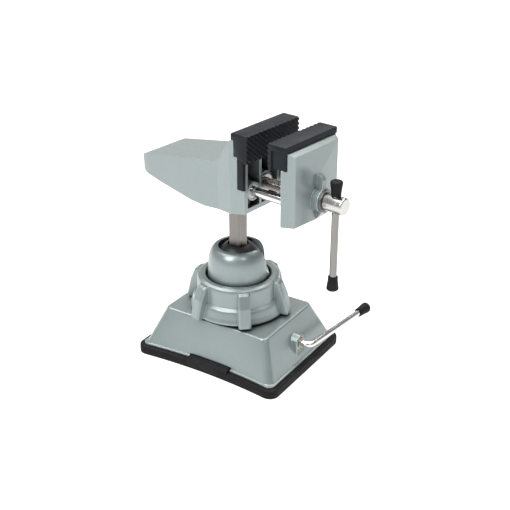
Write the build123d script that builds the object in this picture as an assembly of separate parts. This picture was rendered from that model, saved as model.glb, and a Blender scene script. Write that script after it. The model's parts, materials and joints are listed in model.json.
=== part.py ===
from build123d import *
import math
import os

# Small swivelling bench vise on a vacuum base. Units are millimetres, +Z is up.
# The origin is the centre of the underside of the rubber pad. The swivel post stands on
# the Z axis, the clamp lever comes out of the +X face, and the jaws close along the head's
# own X axis, which is turned a few degrees from the base's X axis.

# ---------------------------------------------------------------- driving dimensions
# vacuum base
PAD_THICKNESS = 8.6
PAD_OVERHANG = 4.3            # rubber standing proud of the casting all round
PAD_CORNER = 7.5
PAD_CENTRE = 24.0             # flat middle of the underside
FOOT_HALF_X = 72.5            # casting at its foot
FOOT_HALF_Y = 58.3
TOP_HALF_X = 55.6             # casting at its flat top
TOP_HALF_Y = 40.8
BASE_TOP = 45.6
SIDE_BOW = 5.4                # long sides curve inward by this much at the foot
BASE_WALL = 3.6
CORNER_RADIUS = 6.0
FLANGE = 1.6                  # upright edge of the casting's foot
FLARE = 1.4                   # how far the foot flares out past the sloping wall
TAB_LEFT = -20.0              # rubber pull tab that breaks the seal
TAB_RIGHT = 25.0
TAB_TOP = 11.6

# vacuum lever and its eccentric
SHAFT_Z = 26.6
SHAFT_RADIUS = 5.0
SHAFT_START = -24.0
BUSH_RADIUS = 6.5
ECCENTRIC_THROW = 1.5
ECCENTRIC_RADIUS = 7.0
CAM_PIN_RADIUS = 1.5
BOSS_RADIUS = 7.6
BOSS_FACE_X = 68.4
BOSS_INNER_X = 49.6
LEVER_RADIUS = 2.9
LEVER_ELBOW_X = 78.0
LEVER_ARM = (5.6, 84.8, -4.8)  # from the elbow to where the rod enters its grip
PLATE_LOW = PAD_THICKNESS + 0.4
PLATE_THICKNESS = 2.0
YOKE_HALF_HEIGHT = ECCENTRIC_RADIUS + 0.5
YOKE_HALF_WIDTH = ECCENTRIC_RADIUS + ECCENTRIC_THROW + 0.5
YOKE_SCREW_ROW = (-11.0, 11.0)
YOKE_SCREW_RADIUS = 1.5

# swivel joint
BALL_Z = 90.5
BALL_RADIUS = 17.0
BALL_FLAT = 104.0             # flat on top of the ball that the post stands on
LINER_RADIUS = 22.47
LINER_TOP = 111.4
SPHERE_PLAY = 0.07
SEAT_RADIUS = 25.9
SEAT_FLOOR = 58.0
DOME_RADIUS = 28.9
DOME_TOP = 108.5
DOME_OPENING = 18.5
SLOT_AZIMUTH = 36.0           # the post lies down in this direction
SLOT_WIDTH = 25.0
NECK_RADIUS = 37.5            # threaded neck of the base inside the collar
NECK_TOP = 66.0
FLANGE_RADIUS = 33.4          # foot of the dome, clamped between neck and collar
FLANGE_BOTTOM = NECK_TOP + 0.3
FLANGE_TOP = 71.1
WASHER_BOTTOM = 72.0
WASHER_TOP = 73.6
COLLAR_BOTTOM = 48.6
COLLAR_TOP = 81.0
COLLAR_OPENING = 30.3
CHAMBER_RADIUS = 35.0
CHAMBER_FLOOR = 61.4
GRIP_COUNT = 6
GRIP_WIDTH = 11.8
GRIP_AZIMUTH = -49.6

# hexagonal post
POST_FLATS = 16.0
POST_TURN = 2.9               # direction of one corner of the hexagon
POST_TOP = 170.0
POST_HOLE = 9.7
SPIGOT_RADIUS = 6.0           # foot of the post inside the ball
SPIGOT_LOW = 84.0
PIN_RADIUS = 2.0
PIN_Z = 163.0

# head, fixed half
HEAD_TURN = -6.84             # the head's X axis, measured from the base's X axis
JAW_LENGTH = 70.0             # along the head's Y axis
PAD_TOP = 230.4
FIXED_GRIP_X = 41.0           # gripping faces of the two pads
MOVING_GRIP_X = 61.3
FRONT_X = 36.0                # front of the fixed jaw casting
LEDGE_Z = 210.2               # ledges that the pad sits on
LEG_BOTTOM = 181.4
CHANNEL_FRONT = 12.0          # front end of the hollows under the tail
NUT_RADIUS = 8.4
BUSH_OUTER = 6.4
SCREW_Z = 178.0
SCREW_RADIUS = 5.0
SCREW_NECK = 4.0
ROD_RADIUS = 4.2
ROD_SPREAD = 21.5             # each guide rod from the middle of the head
RUNNING_FIT = 0.07
GRUB_RADIUS = 2.0
BUSH_GRUB_X = 30.0
PAD_SCREW_RADIUS = 2.0        # two screws from behind hold the fixed pad
PAD_SCREW_Y = (-20.6, 20.6)
PAD_SCREW_Z = 215.0
PAD_SCREW_HEAD = 3.9
PAD_SCREW_SEAT = 19.0

# head, moving half
JAW_BACK = 75.4               # inner face of the moving jaw casting
RABBET_X = 80.0
RABBET_Z = 210.0
JAW_TOP = 224.2
JAW_BOTTOM = 159.8
JAW_HALF = 34.5               # half length at the inner face
EDGE_X = 86.1                 # upright outer edges, where the slanting ends begin
EDGE_HALF = 29.2
EDGE_TOP = 221.8
KEEL_X = 88.4                 # outer face at the middle of the jaw
APEX_Z = 199.0                # where the sloping upper facet meets the keel
RIB_HALF = 2.6
RIB_X = 94.0
HUB_SEAT_RADIUS = 10.6
HUB_SEAT_X = 94.6
ROD_END = 83.6
ROD_GRUB_X = 80.0
LEG_SCREW_X = 77.7            # two upright screws hold the moving pad
LEG_SCREW_Y = 13.2
LEG_SCREW_RADIUS = 1.25
LEG_SCREW_HEAD = 2.1

# tommy bar
WASHER_X = HUB_SEAT_X + 0.05
HUB_START = HUB_SEAT_X + 2.1
HUB_END = 115.6
HUB_RADIUS = 7.5
HUB_PIN_X = HUB_START + 3.0
HUB_PIN_RADIUS = 1.25
BAR_X = 106.0
BAR_RADIUS = 3.2
UPPER_GRIP_LOW = SCREW_Z + HUB_RADIUS + 0.2
LOWER_GRIP_HIGH = 111.6
BAR_GRIP_LENGTH = 13.0
LEVER_GRIP_LENGTH = 16.0
GRIP_SMALL = 4.3
GRIP_LARGE = 5.3
GRIP_END = 4.0                # rubber beyond the end of the bar


# ---------------------------------------------------------------- small helpers
def box(x0, x1, y0, y1, z0, z1):
    """Block between two opposite corners."""
    middle = Pos((x0 + x1) / 2, (y0 + y1) / 2, (z0 + z1) / 2)
    return middle * Box(x1 - x0, y1 - y0, z1 - z0)


def rod_x(radius, x0, x1, y=0.0, z=0.0):
    """Round bar lying along X."""
    return Pos((x0 + x1) / 2, y, z) * Rot(0, 90, 0) * Cylinder(radius, x1 - x0)


def rod_y(radius, y0, y1, x=0.0, z=0.0):
    """Round bar lying along Y."""
    return Pos(x, (y0 + y1) / 2, z) * Rot(90, 0, 0) * Cylinder(radius, y1 - y0)


def rod_z(radius, z0, z1, x=0.0, y=0.0):
    """Round bar standing along Z."""
    return Pos(x, y, (z0 + z1) / 2) * Cylinder(radius, z1 - z0)


def turned(points):
    """Solid of revolution about Z from (radius, height) points."""
    outline = Polyline([(r, 0, z) for r, z in points], close=True)
    return revolve(make_face(outline), Axis.Z)


def side_plate(points, y0, y1):
    """Plate of (x, z) outline between two Y positions."""
    outline = Polyline([(x, y0, z) for x, z in points], close=True)
    return extrude(make_face(outline), amount=y1 - y0, dir=(0, 1, 0))


def hexagon(across_flats, z0, z1, turn):
    """Hexagonal prism about Z with one corner in the direction turn."""
    face = RegularPolygon(across_flats / 2, 6, major_radius=False)
    corner = RegularPolygon(across_flats / 2, 6, major_radius=False).vertices()[0]
    start = math.degrees(math.atan2(corner.Y, corner.X))
    return Pos(0, 0, z0) * Rot(0, 0, turn - start) * extrude(face, amount=z1 - z0)


def socket_screw(head_radius, head_height, shank_radius, length, socket):
    """Cap screw along +X: the head starts at x = 0 and the shank points to -X."""
    screw = rod_x(head_radius, -head_height, 0)
    screw = fillet(screw.edges().sort_by(Axis.X)[-1], 0.4)
    screw += rod_x(shank_radius, -length, -head_height)
    key = extrude(RegularPolygon(socket / 2, 6, major_radius=False), amount=head_height * 0.6)
    return screw - Rot(0, 90, 0) * Pos(0, 0, -head_height * 0.6) * key


def grip(length, bore):
    """Tapered rubber grip on +Z: the open small end is at z = 0."""
    body = turned([
        (0, 0), (GRIP_SMALL, 0), (GRIP_LARGE, length * 0.82), (GRIP_LARGE, length), (0, length)])
    body = fillet(body.edges().sort_by(Axis.Z)[-1], 1.4)
    return body - rod_z(bore, -1, length - GRIP_END)


def cup(radius, z0, z1):
    """Ball shape about the swivel centre, kept between two heights."""
    ball = Pos(0, 0, BALL_Z) * Sphere(radius)
    return ball & rod_z(radius + 5, z0, z1)


def in_head(shape):
    """Turn a shape from the head's axes to the base's axes."""
    return Rot(0, 0, HEAD_TURN) * shape


# ---------------------------------------------------------------- vacuum base
def bowed_outline(half_x, half_y, radius, bow, z):
    """Rounded rectangle whose long sides curve inward by bow."""
    near = ThreePointArc((-half_x, -half_y, z), (0, -half_y + bow, z), (half_x, -half_y, z))
    right = Line((half_x, -half_y, z), (half_x, half_y, z))
    far = ThreePointArc((half_x, half_y, z), (0, half_y - bow, z), (-half_x, half_y, z))
    left = Line((-half_x, half_y, z), (-half_x, -half_y, z))
    face = make_face([near, right, far, left])
    return fillet(face.vertices(), radius)


def base_shell(inset, z_low, z_high):
    """The sloping body of the casting, moved inward by inset, between two heights."""
    rise = BASE_TOP - PAD_THICKNESS
    foot_x = FOOT_HALF_X - FLARE
    foot_y = FOOT_HALF_Y - FLARE
    faces = []
    for z in (z_low, z_high):
        part_way = (z - PAD_THICKNESS) / rise
        half_x = foot_x + (TOP_HALF_X - foot_x) * part_way - inset
        half_y = foot_y + (TOP_HALF_Y - foot_y) * part_way - inset
        bow = max(SIDE_BOW * (1 - part_way), 0.3)
        faces.append(bowed_outline(half_x, half_y, CORNER_RADIUS - inset * 0.7, bow, z))
    return loft(faces, ruled=True)


def lever_boss():
    """Round-topped pillar on the +X side, round the bore for the lever."""
    boss = rod_x(BOSS_RADIUS, BOSS_INNER_X, BOSS_FACE_X, 0, SHAFT_Z)
    pillar_x = TOP_HALF_X + 5
    return boss + box(pillar_x, BOSS_FACE_X, -BOSS_RADIUS, BOSS_RADIUS, PAD_THICKNESS, SHAFT_Z)


def make_base_housing():
    body = base_shell(0, PAD_THICKNESS, BASE_TOP)
    top_edges = body.edges().filter_by_position(Axis.Z, BASE_TOP - 0.01, BASE_TOP + 0.01)
    body = fillet(top_edges, 2.2)
    foot = bowed_outline(FOOT_HALF_X, FOOT_HALF_Y, CORNER_RADIUS, SIDE_BOW, PAD_THICKNESS)
    body += extrude(foot, amount=FLANGE, dir=(0, 0, 1))
    step = PAD_THICKNESS + FLANGE
    inner = body.edges().filter_by_position(Axis.Z, step - 0.01, step + 0.01)
    body = fillet(inner.filter_by(GeomType.BSPLINE), FLARE - 0.5)

    # lever boss on the +X face, neck for the locking collar
    boss = lever_boss()
    face = boss.faces().sort_by(Axis.X)[-1]
    body += fillet(face.edges().filter_by_position(Axis.Z, PAD_THICKNESS + 1, 60), 1.2)
    body += rod_z(NECK_RADIUS, BASE_TOP - 2, NECK_TOP - 6)
    body += rod_z(NECK_RADIUS - 3, NECK_TOP - 6.5, NECK_TOP)

    # hollow inside, with a lug hanging from the roof for the far end of the shaft
    roof = BASE_TOP - BASE_WALL
    hollow = base_shell(BASE_WALL, PAD_THICKNESS - 1, roof)
    hollow -= rod_x(BOSS_RADIUS, BOSS_INNER_X, BOSS_FACE_X, 0, SHAFT_Z)
    body -= hollow
    body -= rod_z(29, roof - 1, NECK_TOP - 14)
    body -= rod_z(8, NECK_TOP - 15, NECK_TOP)
    body -= rod_z(SEAT_RADIUS + 0.1, SEAT_FLOOR, NECK_TOP + 1)
    body += box(-21, -13, -9.5, 9.5, SHAFT_Z - 12, NECK_TOP - 13)

    # bores for the shaft and its bush, and room for the rubber pull tab
    body -= rod_x(SHAFT_RADIUS + RUNNING_FIT, -22, -12, 0, SHAFT_Z)
    body -= rod_x(BUSH_RADIUS, BOSS_INNER_X - 1, BOSS_FACE_X + 1, 0, SHAFT_Z)
    tab_back = -FOOT_HALF_Y + SIDE_BOW + 3.2
    body -= box(TAB_LEFT - 0.4, TAB_RIGHT + 0.4, -80, tab_back, 0, TAB_TOP + 0.2)
    return body


def make_suction_pad():
    half_x = FOOT_HALF_X + PAD_OVERHANG
    half_y = FOOT_HALF_Y + PAD_OVERHANG
    outline = bowed_outline(half_x, half_y, PAD_CORNER, SIDE_BOW, 0)
    pad = extrude(outline, amount=PAD_THICKNESS, dir=(0, 0, 1))
    rims = pad.edges().filter_by_position(Axis.Z, PAD_THICKNESS - 0.01, PAD_THICKNESS + 0.01)
    pad = fillet(rims, 1.6)
    # pull tab that breaks the suction
    tab_front = -FOOT_HALF_Y + SIDE_BOW - PAD_OVERHANG - 0.6
    tab_back = -FOOT_HALF_Y + SIDE_BOW + 2.6
    tab = box(TAB_LEFT, TAB_RIGHT, tab_front, tab_back, 2.0, TAB_TOP)
    tab = fillet(tab.edges().filter_by(Axis.Z), 1.2)
    tab = fillet(tab.edges().filter_by_position(Axis.Z, TAB_TOP - 0.01, TAB_TOP + 0.01), 0.9)
    pad += tab
    # bead that snaps inside the casting's foot
    bead_z = PAD_THICKNESS + 3.0
    bead = base_shell(BASE_WALL + 0.3, PAD_THICKNESS - 0.5, bead_z)
    bead -= base_shell(BASE_WALL + 4.0, PAD_THICKNESS - 1, bead_z + 1)
    pad += bead
    # shallow suction chamber round a flat centre
    chamber = bowed_outline(half_x - 10, half_y - 10, 8.0, SIDE_BOW, 0)
    cavity = extrude(chamber, amount=1.2, dir=(0, 0, 1))
    cavity -= rod_z(PAD_CENTRE, -1, 5)
    return pad - cavity


def make_shaft_bush():
    bush = rod_x(BUSH_RADIUS - 0.02, BOSS_FACE_X - 12, BOSS_FACE_X - 0.4, 0, SHAFT_Z)
    return bush - rod_x(SHAFT_RADIUS + RUNNING_FIT, 0, 80, 0, SHAFT_Z)


def make_ball_seat():
    seat = rod_z(SEAT_RADIUS, SEAT_FLOOR, 76.0)
    seat -= cup(LINER_RADIUS + SPHERE_PLAY, SEAT_FLOOR - 1, 90)
    return seat - rod_z(6, SEAT_FLOOR - 1, 80)


# ---------------------------------------------------------------- vacuum lever
def make_cam_shaft():
    shaft = rod_x(SHAFT_RADIUS, SHAFT_START, BOSS_FACE_X + 0.8, 0, SHAFT_Z)
    shaft -= rod_x(LEVER_RADIUS + 0.02, BOSS_FACE_X - 14, BOSS_FACE_X + 2, 0, SHAFT_Z)
    groove = rod_x(SHAFT_RADIUS + 1, -22.7, -21.7, 0, SHAFT_Z)
    groove -= rod_x(SHAFT_RADIUS - 0.8, -23, -21, 0, SHAFT_Z)
    shaft -= groove
    return shaft - rod_z(CAM_PIN_RADIUS, 15, 40)


def make_shaft_clip():
    clip = rod_x(SHAFT_RADIUS + 2.5, -22.6, -21.8, 0, SHAFT_Z)
    clip -= rod_x(SHAFT_RADIUS - 0.78, -23, -21, 0, SHAFT_Z)
    return clip - box(-23, -21, -2.4, 2.4, SHAFT_Z - 10, SHAFT_Z)


def make_cam_eccentric():
    cam = rod_x(ECCENTRIC_RADIUS, -5, 5, 0, SHAFT_Z - ECCENTRIC_THROW)
    cam -= rod_x(SHAFT_RADIUS + 0.01, -6, 6, 0, SHAFT_Z)
    return cam - rod_z(CAM_PIN_RADIUS, 10, 45)


def make_cam_pin():
    low = SHAFT_Z - ECCENTRIC_THROW - ECCENTRIC_RADIUS + 0.4
    return rod_z(CAM_PIN_RADIUS - 0.01, low, low + 2 * ECCENTRIC_RADIUS - 0.9)


def make_clamp_lever():
    start = Vector(BOSS_FACE_X - 13, 0, SHAFT_Z)
    elbow = Vector(LEVER_ELBOW_X, 0, SHAFT_Z)
    arm = Vector(*LEVER_ARM)
    end = elbow + arm + arm.normalized() * (LEVER_GRIP_LENGTH - GRIP_END)
    path = FilletPolyline(start, elbow, end, radius=6.0)
    profile = Plane(start, z_dir=(1, 0, 0)) * Circle(LEVER_RADIUS)
    return sweep(profile, path=path)


def make_lever_grip():
    arm = Vector(*LEVER_ARM)
    start = Vector(LEVER_ELBOW_X, 0, SHAFT_Z) + arm
    place = Plane(start, z_dir=arm)
    return place * grip(LEVER_GRIP_LENGTH, LEVER_RADIUS + 0.02)


# ---------------------------------------------------------------- vacuum lift
def make_lift_plate():
    plate = rod_z(30, PLATE_LOW, PLATE_LOW + PLATE_THICKNESS)
    return plate - [rod_z(YOKE_SCREW_RADIUS, PLATE_LOW - 1, 20, 0, y) for y in YOKE_SCREW_ROW]


def make_lift_yoke():
    centre = SHAFT_Z - ECCENTRIC_THROW
    low = PLATE_LOW + PLATE_THICKNESS
    yoke = box(-4, 4, -YOKE_HALF_WIDTH - 3, YOKE_HALF_WIDTH + 3, low, centre + YOKE_HALF_HEIGHT + 2)
    window = box(-5, 5, -YOKE_HALF_WIDTH, YOKE_HALF_WIDTH,
                 centre - YOKE_HALF_HEIGHT, centre + YOKE_HALF_HEIGHT)
    yoke -= fillet(window.edges().filter_by(Axis.X), 5)
    return yoke - [rod_z(YOKE_SCREW_RADIUS, low - 1, low + 5, 0, y) for y in YOKE_SCREW_ROW]


def make_yoke_screws():
    radius = YOKE_SCREW_RADIUS - 0.02
    return [rod_z(radius, PLATE_LOW + 0.1, PLATE_LOW + 6, 0, y) for y in YOKE_SCREW_ROW]


# ---------------------------------------------------------------- swivel joint
def make_locking_collar():
    ring = turned([
        (COLLAR_OPENING, 75.0), (COLLAR_OPENING, 80.2), (31.4, COLLAR_TOP), (35.2, 80.9),
        (37.6, 79.6), (38.4, 77.4), (38.8, 62.4), (41.6, 60.4), (42.4, 58.4),
        (43.8, 53.4), (45.0, 50.2), (45.0, COLLAR_BOTTOM), (36.0, COLLAR_BOTTOM), (33, 60),
    ])
    rib_outline = [
        (33.0, COLLAR_TOP - 1.6), (40.3, COLLAR_TOP - 1.8), (43.0, 77.4),
        (47.6, 66.5), (51.2, 51.0), (51.2, COLLAR_BOTTOM), (33.0, COLLAR_BOTTOM),
    ]
    rib = side_plate(rib_outline, -GRIP_WIDTH / 2, GRIP_WIDTH / 2)
    outer_edges = rib.edges().filter_by_position(Axis.X, 39, 52).filter_by(Axis.Y, reverse=True)
    rib = fillet(outer_edges.filter_by_position(Axis.Z, COLLAR_BOTTOM + 0.7, 82), 2.4)
    for i in range(GRIP_COUNT):
        ring += Rot(0, 0, GRIP_AZIMUTH + i * 360 / GRIP_COUNT) * rib
    ring -= rod_z(NECK_RADIUS + RUNNING_FIT, COLLAR_BOTTOM - 1, CHAMBER_FLOOR)
    ring -= rod_z(CHAMBER_RADIUS, CHAMBER_FLOOR - 0.5, WASHER_TOP)
    return ring - rod_z(COLLAR_OPENING, WASHER_TOP - 0.5, COLLAR_TOP + 1)


def make_thrust_washer():
    return rod_z(34.6, WASHER_BOTTOM, WASHER_TOP) - rod_z(30.6, 70, 80)


def make_swivel_dome():
    shoulder_z = 92.0
    shoulder_run = DOME_RADIUS - 1.0 - DOME_OPENING - 1.2
    shoulder_rise = DOME_TOP - shoulder_z
    lines = [
        Line((0, 0, FLANGE_BOTTOM), (FLANGE_RADIUS, 0, FLANGE_BOTTOM)),
        Line((FLANGE_RADIUS, 0, FLANGE_BOTTOM), (FLANGE_RADIUS, 0, FLANGE_TOP)),
        Line((FLANGE_RADIUS, 0, FLANGE_TOP), (DOME_RADIUS, 0, FLANGE_TOP)),
        Line((DOME_RADIUS, 0, FLANGE_TOP), (DOME_RADIUS - 1.0, 0, shoulder_z)),
    ]
    crown = EllipticalCenterArc(
        (DOME_OPENING + 1.2, shoulder_z), shoulder_run, shoulder_rise, arc_size=90)
    lines.append(Plane.XZ * crown)
    lines.append(Line((DOME_OPENING + 1.2, 0, DOME_TOP), (0, 0, DOME_TOP)))
    lines.append(Line((0, 0, DOME_TOP), (0, 0, FLANGE_BOTTOM)))
    dome = revolve(make_face(lines), Axis.Z)
    # room for the seat below and the ball liner above
    dome -= rod_z(SEAT_RADIUS + 0.4, FLANGE_BOTTOM - 1, 77.5)
    dome -= rod_z(LINER_RADIUS + SPHERE_PLAY, 77, BALL_Z)
    dome -= Pos(0, 0, BALL_Z) * Sphere(LINER_RADIUS + SPHERE_PLAY)
    # round opening on top and the slot that lets the post lie down
    dome -= rod_z(DOME_OPENING, BALL_Z, DOME_TOP + 1)
    half = SLOT_WIDTH / 2
    slot = box(0, 40, -half, half, BALL_Z, DOME_TOP + 1)
    slot += rod_x(half, 0, 40, 0, BALL_Z)
    dome -= Rot(0, 0, SLOT_AZIMUTH) * slot
    return dome


def make_ball_liner():
    """Two clip-together halves of the plastic ball that follows the post."""
    ball = cup(LINER_RADIUS, 60, LINER_TOP)
    ball -= Pos(0, 0, BALL_Z) * Sphere(BALL_RADIUS + SPHERE_PLAY)
    ball -= rod_z(POST_HOLE, BALL_Z, 120)
    ball = Rot(0, 0, -SLOT_AZIMUTH) * ball
    joint = 0.02
    halves = [ball & box(-40, 40, joint, 40, 50, 120), ball & box(-40, 40, -40, -joint, 50, 120)]
    return [Rot(0, 0, SLOT_AZIMUTH) * half for half in halves]


def make_swivel_ball():
    ball = cup(BALL_RADIUS, 60, BALL_FLAT)
    return ball - rod_z(SPIGOT_RADIUS + 0.01, SPIGOT_LOW, 120)


def make_hex_post():
    post = hexagon(POST_FLATS, BALL_FLAT, POST_TOP, POST_TURN)
    cone = turned([(0, BALL_FLAT - 1), (12, BALL_FLAT - 1), (12, POST_TOP - 2.6),
                   (8.2, POST_TOP), (0, POST_TOP)])
    post &= cone
    post += rod_z(SPIGOT_RADIUS, SPIGOT_LOW + 0.5, BALL_FLAT + 1)
    return post - in_head(rod_y(PIN_RADIUS, -20, 20, 0, PIN_Z))


def make_post_pin():
    pin = rod_y(PIN_RADIUS - 0.01, -12.2, 12.2, 0, PIN_Z)
    return in_head(pin - rod_y(PIN_RADIUS - 0.8, -13, 13, 0, PIN_Z))


# ---------------------------------------------------------------- head, fixed half
def make_fixed_jaw():
    outline = [
        (-95.6, 177.0), (-94.2, 168.6), (-90.6, 164.4), (-73.0, 160.4), (-31.0, 153.2),
        (-14.0, 152.6), (18.0, 156.0), (FRONT_X, 159.8), (FRONT_X, 208.0),
        (29.2, 208.0), (29.2, LEDGE_Z), (25.4, LEDGE_Z), (25.4, 224.3), (21.2, 223.4),
        (2.0, 198.6), (-88.0, 184.2), (-93.4, 181.6),
    ]
    body = side_plate(outline, -40, 40)
    plan = [
        (-96.6, 22.0), (-94.1, 25.2), (-88, 26.6), (2.0, 30.8), (20.0, 35.0), (40.0, 35.0),
        (40.0, -35.0), (20.0, -35.0), (2.0, -30.8), (-88, -26.6), (-94.1, -25.2), (-96.6, -22.0),
    ]
    top = make_face(Polyline([(x, y, 226.0) for x, y in plan], close=True))
    body &= extrude(top, amount=80, dir=(0, 0, -1), taper=1.6)

    # channels in the underside, either side of the middle rib and behind the post
    channel = side_plate(channel_outline(), -30, 30)
    for side in (-1, 1):
        y0, y1 = sorted((side * 12.4, side * 23.2))
        body -= box(-85, CHANNEL_FRONT, y0, y1, 145, 190) & channel
    body -= box(-85, -15, -9.4, 9.4, 145, 190) & channel

    # pockets in the front face between thin webs, corner notches for the pad's legs
    for y0, y1 in ((-28.8, -13.2), (-10.8, 10.8), (13.2, 28.8)):
        body -= box(14, FRONT_X + 1, y0, y1, 164.0, 205.0)
    for y0, y1 in ((-40, -31.2), (31.2, 40)):
        body -= box(29.2, FRONT_X + 1, y0, y1, LEG_BOTTOM, 209)
    body += box(11, 15, -30, 30, 158, 200)

    # bosses for the guide rods and the screw nut
    for y in (-ROD_SPREAD, ROD_SPREAD):
        body += rod_x(8.2, 14, FRONT_X + 0.6, y, SCREW_Z)
    body += rod_x(NUT_RADIUS + 2.2, 14, 31.5, 0, SCREW_Z)
    for y in (-ROD_SPREAD, ROD_SPREAD):
        body -= rod_x(BUSH_OUTER + 0.01, 22, FRONT_X + 2, y, SCREW_Z)
        body -= rod_x(ROD_RADIUS + 0.4, -46, 30, y, SCREW_Z)
        body -= rod_z(GRUB_RADIUS, 150, SCREW_Z - 6, BUSH_GRUB_X, y)
    body -= rod_x(NUT_RADIUS + 0.01, 18, 40, 0, SCREW_Z)
    body -= rod_x(SCREW_RADIUS + 0.8, -46, 30, 0, SCREW_Z)

    # hexagonal socket for the post with its cross pin, and holes for the pad screws
    body -= hexagon(POST_FLATS + 0.06, 145, POST_TOP + 0.3, POST_TURN - HEAD_TURN)
    body -= rod_y(PIN_RADIUS, -12.3, 12.3, 0, PIN_Z)
    for y in PAD_SCREW_Y:
        body -= rod_x(PAD_SCREW_HEAD + 0.3, 0, PAD_SCREW_SEAT, y, PAD_SCREW_Z)
        body -= rod_x(PAD_SCREW_RADIUS, 10, 30, y, PAD_SCREW_Z)
    return in_head(body)


def channel_outline():
    """(x, z) outline of the hollow under the tail."""
    front = CHANNEL_FRONT + 1
    return [(-86, 145), (front, 145), (front, 195), (0, 194), (-86, 180.2)]


def make_fixed_jaw_pad():
    outline = [
        (FIXED_GRIP_X, 206.2), (29.3, 206.2), (29.3, LEDGE_Z + 0.1), (25.5, LEDGE_Z + 0.1),
        (25.5, 224.4), (22.5, 224.4), (22.5, PAD_TOP - 0.8), (23.3, PAD_TOP),
        (FIXED_GRIP_X - 0.8, PAD_TOP), (FIXED_GRIP_X, PAD_TOP - 0.8),
    ]
    half = JAW_LENGTH / 2
    pad = side_plate(outline, -half, half)
    pad -= box(28, FRONT_X + 0.1, -31.3, 31.3, 200, 208.1)
    for y0, y1 in ((-half, -31.3), (31.3, half)):
        pad += box(29.3, FRONT_X, y0, y1, LEG_BOTTOM + 0.1, 207)
    for y in PAD_SCREW_Y:
        pad -= rod_x(PAD_SCREW_RADIUS, 20, FIXED_GRIP_X - 4.5, y, PAD_SCREW_Z)
    return in_head(pad)


def make_fixed_pad_screws():
    head_height = 3.0
    screw = socket_screw(PAD_SCREW_HEAD, head_height, PAD_SCREW_RADIUS - 0.02, 20, 3.0)
    screw = Rot(0, 0, 180) * screw
    start = PAD_SCREW_SEAT - head_height
    return [in_head(Pos(start, y, PAD_SCREW_Z) * screw) for y in PAD_SCREW_Y]


def make_rod_bushes():
    bush = rod_x(BUSH_OUTER, 22.2, FRONT_X + 0.2, 0, SCREW_Z)
    bush -= rod_x(ROD_RADIUS + RUNNING_FIT, 20, 40, 0, SCREW_Z)
    return [in_head(Pos(0, y, 0) * bush) for y in (-ROD_SPREAD, ROD_SPREAD)]


def make_screw_nut():
    nut = rod_x(NUT_RADIUS, 18.2, 33.0, 0, SCREW_Z)
    nut = fillet(nut.edges().sort_by(Axis.X)[-1], 0.6)
    return in_head(nut - rod_x(SCREW_RADIUS + RUNNING_FIT, 10, 40, 0, SCREW_Z))


def make_bush_grub_screws():
    screws = []
    for y in (-ROD_SPREAD, ROD_SPREAD):
        grub = rod_z(GRUB_RADIUS - 0.02, 160.2, SCREW_Z - BUSH_OUTER - 0.1, BUSH_GRUB_X, y)
        grub -= Pos(BUSH_GRUB_X, y, 160) * extrude(RegularPolygon(1.0, 6), amount=2.5)
        screws.append(in_head(grub))
    return screws


# ---------------------------------------------------------------- head, moving half
def moving_jaw_block():
    """Solid casting: slanting ends, a shallow keel and a facet sloping up to the top edge."""
    plan = [(JAW_BACK, -JAW_HALF), (EDGE_X, -EDGE_HALF), (KEEL_X, 0), (EDGE_X, EDGE_HALF),
            (JAW_BACK, JAW_HALF)]
    top = make_face(Polyline([(x, y, JAW_TOP) for x, y in plan], close=True))
    body = extrude(top, amount=JAW_TOP - JAW_BOTTOM, dir=(0, 0, -1))
    # plane through the keel's apex and the two upper outer corners
    slope = (KEEL_X - EDGE_X) / (EDGE_TOP - APEX_Z)
    above = JAW_TOP - EDGE_TOP + 10
    body -= side_plate([
        (KEEL_X, APEX_Z), (EDGE_X - slope * above, EDGE_TOP + above), (KEEL_X + 10, JAW_TOP + 20),
        (KEEL_X + 10, APEX_Z)], -50, 50)
    # chamfer along the top outer edge
    run = 4.6
    body -= side_plate([
        (EDGE_X + 2, EDGE_TOP - 2 * (JAW_TOP - EDGE_TOP) / run), (EDGE_X - run, JAW_TOP),
        (EDGE_X - run, JAW_TOP + 5), (EDGE_X + 2, JAW_TOP + 5)], -50, 50)
    ends = body.edges().filter_by(Axis.Z)
    body = fillet(ends.filter_by_position(Axis.X, EDGE_X - 0.1, EDGE_X + 0.1), 1.0)
    bottom = body.edges().filter_by_position(Axis.Z, JAW_BOTTOM - 0.01, JAW_BOTTOM + 0.01)
    return fillet(bottom.filter_by_position(Axis.X, JAW_BACK + 1, KEEL_X + 1), 1.0)


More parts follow.
